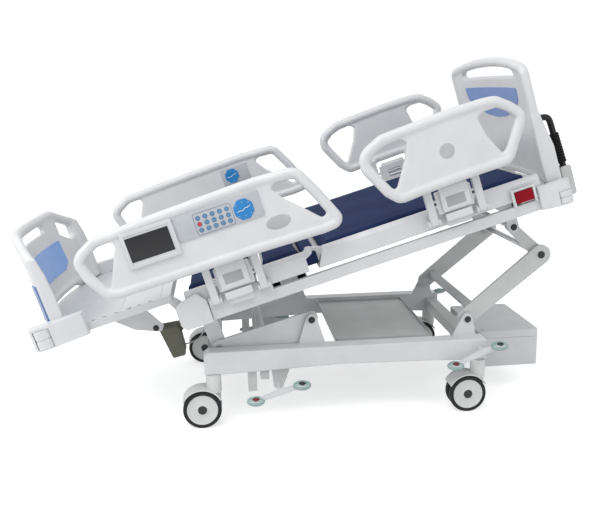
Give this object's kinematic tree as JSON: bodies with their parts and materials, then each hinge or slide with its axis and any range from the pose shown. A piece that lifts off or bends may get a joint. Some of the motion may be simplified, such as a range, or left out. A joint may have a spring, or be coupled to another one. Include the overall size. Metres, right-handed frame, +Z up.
{
  "type": "electric hospital bed",
  "caption": "Electric hospital bed with lift arms, sectioned deck, split side rails, lift-off boards and swivel casters.",
  "frame": {"origin": "middle of the bounding box at floor level, in the posture of the picture", "axes": "+Z up, +X toward the head end, +Y toward the far side"},
  "size_m": [2.245, 1.14, 1.4102],
  "materials": {
    "frame_paint": "satin",
    "steel_grey": "satin",
    "bare_steel": "satin",
    "shell_plastic": "matte",
    "blue_plastic": "matte",
    "grey_plastic": "matte",
    "panel_plastic": "matte",
    "red_plastic": "gloss",
    "black_rubber": "matte",
    "tread": "matte",
    "pad_cover": "matte"
  },
  "bodies": {
    "base": {"base_rail_near": "frame_paint", "base_rail_far": "frame_paint", "base_cross_members": "steel_grey", "base_tray": "steel_grey", "power_box": "panel_plastic", "arm_brackets": "frame_paint", "pedal_hangers": "steel_grey"},
    "foot_lift": {"foot_lift_arm": "frame_paint"},
    "foot_knee": {"foot_knee_rod": "bare_steel"},
    "deck": {"deck_side_near": "frame_paint", "deck_side_far": "frame_paint", "deck_cross_members": "steel_grey", "deck_lift_brackets": "frame_paint", "seat_section": "shell_plastic", "seat_pad": "pad_cover", "head_corner_covers": "shell_plastic", "seat_rail_mounts": "frame_paint", "knee_motor": "grey_plastic", "motor_cable": "black_rubber"},
    "head_lift": {"head_lift_arm": "steel_grey"},
    "head_knee": {"head_knee_rod": "bare_steel"},
    "head_link": {"head_lift_link": "steel_grey"},
    "back": {"back_section": "shell_plastic", "back_pad": "pad_cover", "back_rail_mounts": "frame_paint"},
    "thigh": {"thigh_section": "shell_plastic", "thigh_pad": "pad_cover"},
    "foot_end": {"foot_section": "frame_paint", "foot_corner_covers": "shell_plastic"},
    "headboard": {"headboard": "shell_plastic", "headboard_insert": "blue_plastic"},
    "footboard": {"footboard": "shell_plastic", "footboard_insert": "blue_plastic"},
    "brake_foot": {"brake_pedal_foot": "steel_grey"},
    "brake_head": {"brake_pedal_head": "steel_grey"},
    "caster_foot_near": {"caster_fork_foot_near": "panel_plastic"},
    "wheels_foot_near": {"caster_wheels_foot_near": "tread"},
    "caster_foot_far": {"caster_fork_foot_far": "panel_plastic"},
    "wheels_foot_far": {"caster_wheels_foot_far": "tread"},
    "caster_head_near": {"caster_fork_head_near": "panel_plastic"},
    "wheels_head_near": {"caster_wheels_head_near": "tread"},
    "caster_head_far": {"caster_fork_head_far": "panel_plastic"},
    "wheels_head_far": {"caster_wheels_head_far": "tread"},
    "rail_arm_foot_near": {"foot_rail_arm_near": "frame_paint"},
    "rail_foot_near": {"foot_rail_near": "shell_plastic", "control_panel": "panel_plastic"},
    "rail_arm_foot_far": {"foot_rail_arm_far": "frame_paint"},
    "rail_foot_far": {"foot_rail_far": "shell_plastic"},
    "rail_arm_head_near": {"head_rail_arm_near": "frame_paint"},
    "rail_head_near": {"head_rail_near": "shell_plastic"},
    "rail_arm_head_far": {"head_rail_arm_far": "frame_paint"},
    "rail_head_far": {"head_rail_far": "shell_plastic"},
    "roller_foot_near": {"bumper_roller_foot_near": "grey_plastic"},
    "roller_head_near": {"bumper_roller_head_near": "grey_plastic"},
    "push_near": {"push_handle_near": "black_rubber"},
    "cpr_near": {"cpr_handle_near": "red_plastic"},
    "roller_foot_far": {"bumper_roller_foot_far": "grey_plastic"},
    "roller_head_far": {"bumper_roller_head_far": "grey_plastic"},
    "push_far": {"push_handle_far": "black_rubber"},
    "cpr_far": {"cpr_handle_far": "red_plastic"}
  },
  "joints": [
    {"name": "foot_lift_turn", "type": "hinge", "parent": "base", "child": "foot_lift", "pos_m": [0.05516, 0, 0.398], "axis": [0, 1, 0], "range_deg": [0, 48]},
    {"name": "foot_knee_turn", "type": "hinge", "parent": "foot_lift", "child": "foot_knee", "pos_m": [-0.30884, 0, 0.298], "axis": [0, 1, 0], "range_deg": [-36, 0]},
    {"name": "deck_tilt", "type": "hinge", "parent": "foot_knee", "child": "deck", "pos_m": [-0.30884, 0, 0.298], "axis": [0, 1, 0], "range_deg": [0, 16.7]},
    {"name": "head_lift_turn", "type": "hinge", "parent": "base", "child": "head_lift", "pos_m": [0.68916, 0, 0.369], "axis": [0, 1, 0], "range_deg": [0, 49.15]},
    {"name": "head_knee_turn", "type": "hinge", "parent": "head_lift", "child": "head_knee", "pos_m": [0.99716, 0, 0.618], "axis": [0, 1, 0], "range_deg": [0, 28.88]},
    {"name": "head_link_turn", "type": "hinge", "parent": "head_knee", "child": "head_link", "pos_m": [0.99716, 0, 0.618], "axis": [0, 1, 0], "range_deg": [-70.69, 0]},
    {"name": "back_raise", "type": "hinge", "parent": "deck", "child": "back", "pos_m": [0.03412, 0, 0.69691], "axis": [0, -1, 0], "range_deg": [0, 60]},
    {"name": "thigh_raise", "type": "hinge", "parent": "deck", "child": "thigh", "pos_m": [-0.15936, 0, 0.63887], "axis": [0, 1, 0], "range_deg": [0, 25]},
    {"name": "foot_lower", "type": "hinge", "parent": "deck", "child": "foot_end", "pos_m": [-0.44431, 0, 0.49595], "axis": [0, -1, 0], "range_deg": [0, 30]},
    {"name": "headboard_lift", "type": "slide", "parent": "deck", "child": "headboard", "axis": [-0.2874, 0, 0.9578], "range_m": [0, 0.07]},
    {"name": "footboard_lift", "type": "slide", "parent": "foot_end", "child": "footboard", "axis": [-0.2874, 0, 0.9578], "range_m": [0, 0.06]},
    {"name": "swivel_foot_near", "type": "hinge", "parent": "base", "child": "caster_foot_near", "pos_m": [-0.33614, -0.382, 0.2], "axis": [0, 0, 1], "continuous": true},
    {"name": "roll_foot_near", "type": "hinge", "parent": "caster_foot_near", "child": "wheels_foot_near", "pos_m": [-0.38344, -0.382, 0.075], "axis": [0, 1, 0], "continuous": true},
    {"name": "swivel_foot_far", "type": "hinge", "parent": "base", "child": "caster_foot_far", "pos_m": [-0.33614, 0.382, 0.2], "axis": [0, 0, 1], "continuous": true},
    {"name": "roll_foot_far", "type": "hinge", "parent": "caster_foot_far", "child": "wheels_foot_far", "pos_m": [-0.38344, 0.382, 0.075], "axis": [0, 1, 0], "continuous": true},
    {"name": "swivel_head_near", "type": "hinge", "parent": "base", "child": "caster_head_near", "pos_m": [0.72506, -0.382, 0.2], "axis": [0, 0, 1], "continuous": true},
    {"name": "roll_head_near", "type": "hinge", "parent": "caster_head_near", "child": "wheels_head_near", "pos_m": [0.67776, -0.382, 0.075], "axis": [0, 1, 0], "continuous": true},
    {"name": "swivel_head_far", "type": "hinge", "parent": "base", "child": "caster_head_far", "pos_m": [0.72506, 0.382, 0.2], "axis": [0, 0, 1], "continuous": true},
    {"name": "roll_head_far", "type": "hinge", "parent": "caster_head_far", "child": "wheels_head_far", "pos_m": [0.67776, 0.382, 0.075], "axis": [0, 1, 0], "continuous": true},
    {"name": "brake_foot_turn", "type": "hinge", "parent": "base", "child": "brake_foot", "pos_m": [-0.08284, 0, 0.15], "axis": [0, 1, 0], "range_deg": [-15, 15]},
    {"name": "brake_head_turn", "type": "hinge", "parent": "base", "child": "brake_head", "pos_m": [0.72816, 0, 0.258], "axis": [0, 1, 0], "range_deg": [-15, 15]},
    {"name": "rail_swing_foot_near", "type": "hinge", "parent": "deck", "child": "rail_arm_foot_near", "pos_m": [-0.22353, -0.5, 0.55697], "axis": [0.9578, 0, 0.2874], "range_deg": [0, 165]},
    {"name": "rail_level_foot_near", "type": "hinge", "parent": "rail_arm_foot_near", "child": "rail_foot_near", "pos_m": [-0.26663, -0.5, 0.70064], "axis": [0.9578, 0, 0.2874], "range_deg": [-165, 0]},
    {"name": "rail_swing_foot_far", "type": "hinge", "parent": "deck", "child": "rail_arm_foot_far", "pos_m": [-0.22353, 0.5, 0.55697], "axis": [-0.9578, 0, -0.2874], "range_deg": [0, 165]},
    {"name": "rail_level_foot_far", "type": "hinge", "parent": "rail_arm_foot_far", "child": "rail_foot_far", "pos_m": [-0.26663, 0.5, 0.70064], "axis": [-0.9578, 0, -0.2874], "range_deg": [-165, 0]},
    {"name": "rail_swing_head_near", "type": "hinge", "parent": "back", "child": "rail_arm_head_near", "pos_m": [0.59589, -0.5, 0.81847], "axis": [0.9578, 0, 0.2874], "range_deg": [0, 165]},
    {"name": "rail_level_head_near", "type": "hinge", "parent": "rail_arm_head_near", "child": "rail_head_near", "pos_m": [0.55422, -0.5, 0.95735], "axis": [0.9578, 0, 0.2874], "range_deg": [-165, 0]},
    {"name": "rail_swing_head_far", "type": "hinge", "parent": "back", "child": "rail_arm_head_far", "pos_m": [0.59589, 0.5, 0.81847], "axis": [-0.9578, 0, -0.2874], "range_deg": [0, 165]},
    {"name": "rail_level_head_far", "type": "hinge", "parent": "rail_arm_head_far", "child": "rail_head_far", "pos_m": [0.55422, 0.5, 0.95735], "axis": [-0.9578, 0, -0.2874], "range_deg": [-165, 0]},
    {"name": "roller_spin_foot_near", "type": "hinge", "parent": "foot_end", "child": "roller_foot_near", "pos_m": [-0.93155, -0.5, 0.42181], "axis": [-0.2874, 0, 0.9578], "continuous": true},
    {"name": "roller_spin_head_near", "type": "hinge", "parent": "deck", "child": "roller_head_near", "pos_m": [1.00842, -0.5, 0.88064], "axis": [-0.2874, 0, 0.9578], "continuous": true},
    {"name": "push_fold_near", "type": "hinge", "parent": "deck", "child": "push_near", "pos_m": [1.07911, -0.33, 0.94778], "axis": [0, 1, 0], "range_deg": [0, 120]},
    {"name": "cpr_pull_near", "type": "hinge", "parent": "deck", "child": "cpr_near", "pos_m": [0.86015, -0.479, 0.8633], "axis": [0.9578, 0, 0.2874], "range_deg": [0, 25], "stiffness_Nm_per_rad": 0.3},
    {"name": "roller_spin_foot_far", "type": "hinge", "parent": "foot_end", "child": "roller_foot_far", "pos_m": [-0.93155, 0.5, 0.42181], "axis": [-0.2874, 0, 0.9578], "continuous": true},
    {"name": "roller_spin_head_far", "type": "hinge", "parent": "deck", "child": "roller_head_far", "pos_m": [1.00842, 0.5, 0.88064], "axis": [-0.2874, 0, 0.9578], "continuous": true},
    {"name": "push_fold_far", "type": "hinge", "parent": "deck", "child": "push_far", "pos_m": [1.07911, 0.33, 0.94778], "axis": [0, 1, 0], "range_deg": [0, 120]},
    {"name": "cpr_pull_far", "type": "hinge", "parent": "deck", "child": "cpr_far", "pos_m": [0.86015, 0.479, 0.8633], "axis": [-0.9578, 0, -0.2874], "range_deg": [0, 25], "stiffness_Nm_per_rad": 0.3}
  ],
  "couplings": [
    {"joint": "foot_knee_turn", "follows": "foot_lift_turn", "ratio": -0.75},
    {"joint": "head_lift_turn", "follows": "deck_tilt", "ratio": 2.9426},
    {"joint": "head_knee_turn", "follows": "foot_lift_turn", "ratio": 0.6015},
    {"joint": "head_link_turn", "follows": "deck_tilt", "ratio": -4.2329},
    {"joint": "brake_head_turn", "follows": "brake_foot_turn", "ratio": 1},
    {"joint": "rail_level_foot_near", "follows": "rail_swing_foot_near", "ratio": -1},
    {"joint": "rail_level_foot_far", "follows": "rail_swing_foot_far", "ratio": -1},
    {"joint": "rail_level_head_near", "follows": "rail_swing_head_near", "ratio": -1},
    {"joint": "rail_level_head_far", "follows": "rail_swing_head_far", "ratio": -1}
  ]
}
